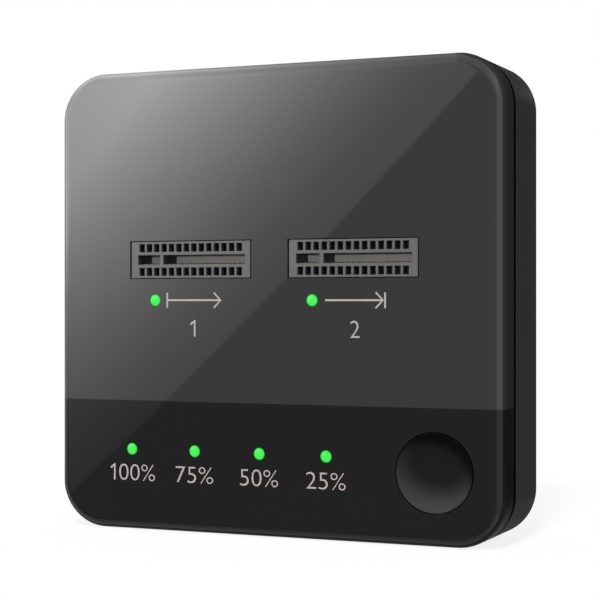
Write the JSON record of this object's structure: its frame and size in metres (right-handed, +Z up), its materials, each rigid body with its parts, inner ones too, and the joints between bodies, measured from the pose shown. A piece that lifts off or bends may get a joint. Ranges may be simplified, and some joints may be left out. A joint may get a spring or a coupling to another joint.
{
  "type": "drive duplicator",
  "caption": "Desktop duplicator that copies one drive to another: two drive sockets, status and progress lamps and a large start button on a flat square housing.",
  "frame": {"origin": "under the middle of the object, on the surface its lower edge stands on", "axes": "+Z up; +Y from the control face to the back; +X to the right, seen from the front"},
  "size_m": [0.1326, 0.0342, 0.13],
  "materials": {
    "glossy_shell": "dark grey, high gloss",
    "black_band": "black, satin gloss",
    "rear_shell": "black-grey, fine moulded texture",
    "socket_plastic": "mid grey, matte",
    "button_plastic": "black, satin",
    "lamp": "clear green, lit",
    "led": "pale moulded package",
    "rubber": "black, matte",
    "screw_steel": "zinc plated",
    "contact_metal": "gold flash",
    "port_metal": "nickel plated",
    "port_insulator": "blue insulator",
    "board": "green solder mask",
    "chip": "black moulding compound",
    "black_plastic": "black",
    "capacitor_can": "plain can",
    "ferrite": "dark grey ferrite",
    "crystal_can": "plain can"
  },
  "bodies": {
    "housing": {"front_shell": "glossy_shell", "control_fascia": "black_band", "rear_shell": "rear_shell", "rubber_feet": "rubber", "case_screws": "screw_steel", "main_board": "board", "source_socket_housing": "socket_plastic", "source_socket_contacts": "contact_metal", "source_light_pipe": "lamp", "source_led": "led", "source_bridge_chip": "chip", "target_socket_housing": "socket_plastic", "target_socket_contacts": "contact_metal", "target_light_pipe": "lamp", "target_led": "led", "target_bridge_chip": "chip", "progress_1_light_pipe": "lamp", "progress_1_led": "led", "progress_2_light_pipe": "lamp", "progress_2_led": "led", "progress_3_light_pipe": "lamp", "progress_3_led": "led", "progress_4_light_pipe": "lamp", "progress_4_led": "led", "tact_switch_body": "black_plastic", "power_inlet_body": "black_plastic", "power_inlet_pin": "contact_metal", "power_inlet_contact": "contact_metal", "host_port_shell": "port_metal", "host_port_tongue": "port_insulator", "power_switch_body": "black_plastic", "power_switch_terminals": "contact_metal", "controller_chip": "chip", "memory_chip": "chip", "firmware_chip": "chip", "crystal": "crystal_can", "power_inductor_1": "ferrite", "power_inductor_2": "ferrite", "capacitor_1": "capacitor_can", "capacitor_2": "capacitor_can", "capacitor_3": "capacitor_can"},
    "button": {"start_button": "button_plastic", "tact_switch_plunger": "black_plastic"},
    "rocker": {"power_switch_rocker": "black_plastic"}
  },
  "joints": [
    {"name": "start_press", "type": "slide", "parent": "housing", "child": "button", "axis": [0, 1, 0], "range_m": [0, 0.0008], "stiffness_N_per_m": 1200, "springref_m": -0.0008},
    {"name": "power_rock", "type": "hinge", "parent": "housing", "child": "rocker", "pos_m": [0.032, 0.0046, 0.1266], "axis": [0, -1, 0], "range_deg": [0, 16]}
  ]
}
